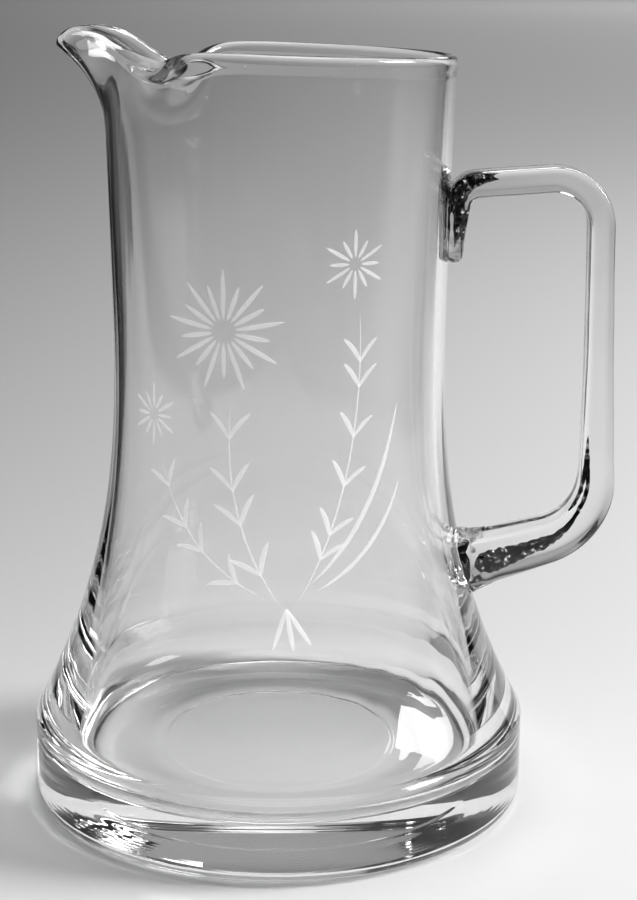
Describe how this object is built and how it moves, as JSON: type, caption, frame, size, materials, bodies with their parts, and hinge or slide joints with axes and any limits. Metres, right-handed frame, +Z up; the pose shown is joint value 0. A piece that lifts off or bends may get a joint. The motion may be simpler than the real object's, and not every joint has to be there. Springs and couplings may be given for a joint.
{
  "type": "cocktail pitcher",
  "caption": "Clear blown-glass cocktail pitcher: waisted body flaring to a heavy base, pinched pouring lip and an applied solid glass loop handle.",
  "frame": {"origin": "centre of the foot ring on the body's axis, in the plane the pitcher rests on", "axes": "+Z up along the body's axis, +X towards the handle, -X towards the pouring lip"},
  "size_m": [0.1628, 0.139, 0.2156],
  "materials": {
    "body_glass": "clear fire-polished glass with faint frosted wheel cuts",
    "handle_glass": "clear fire-polished glass"
  },
  "bodies": {
    "root": {"body": "body_glass", "handle": "handle_glass"}
  },
  "joints": []
}
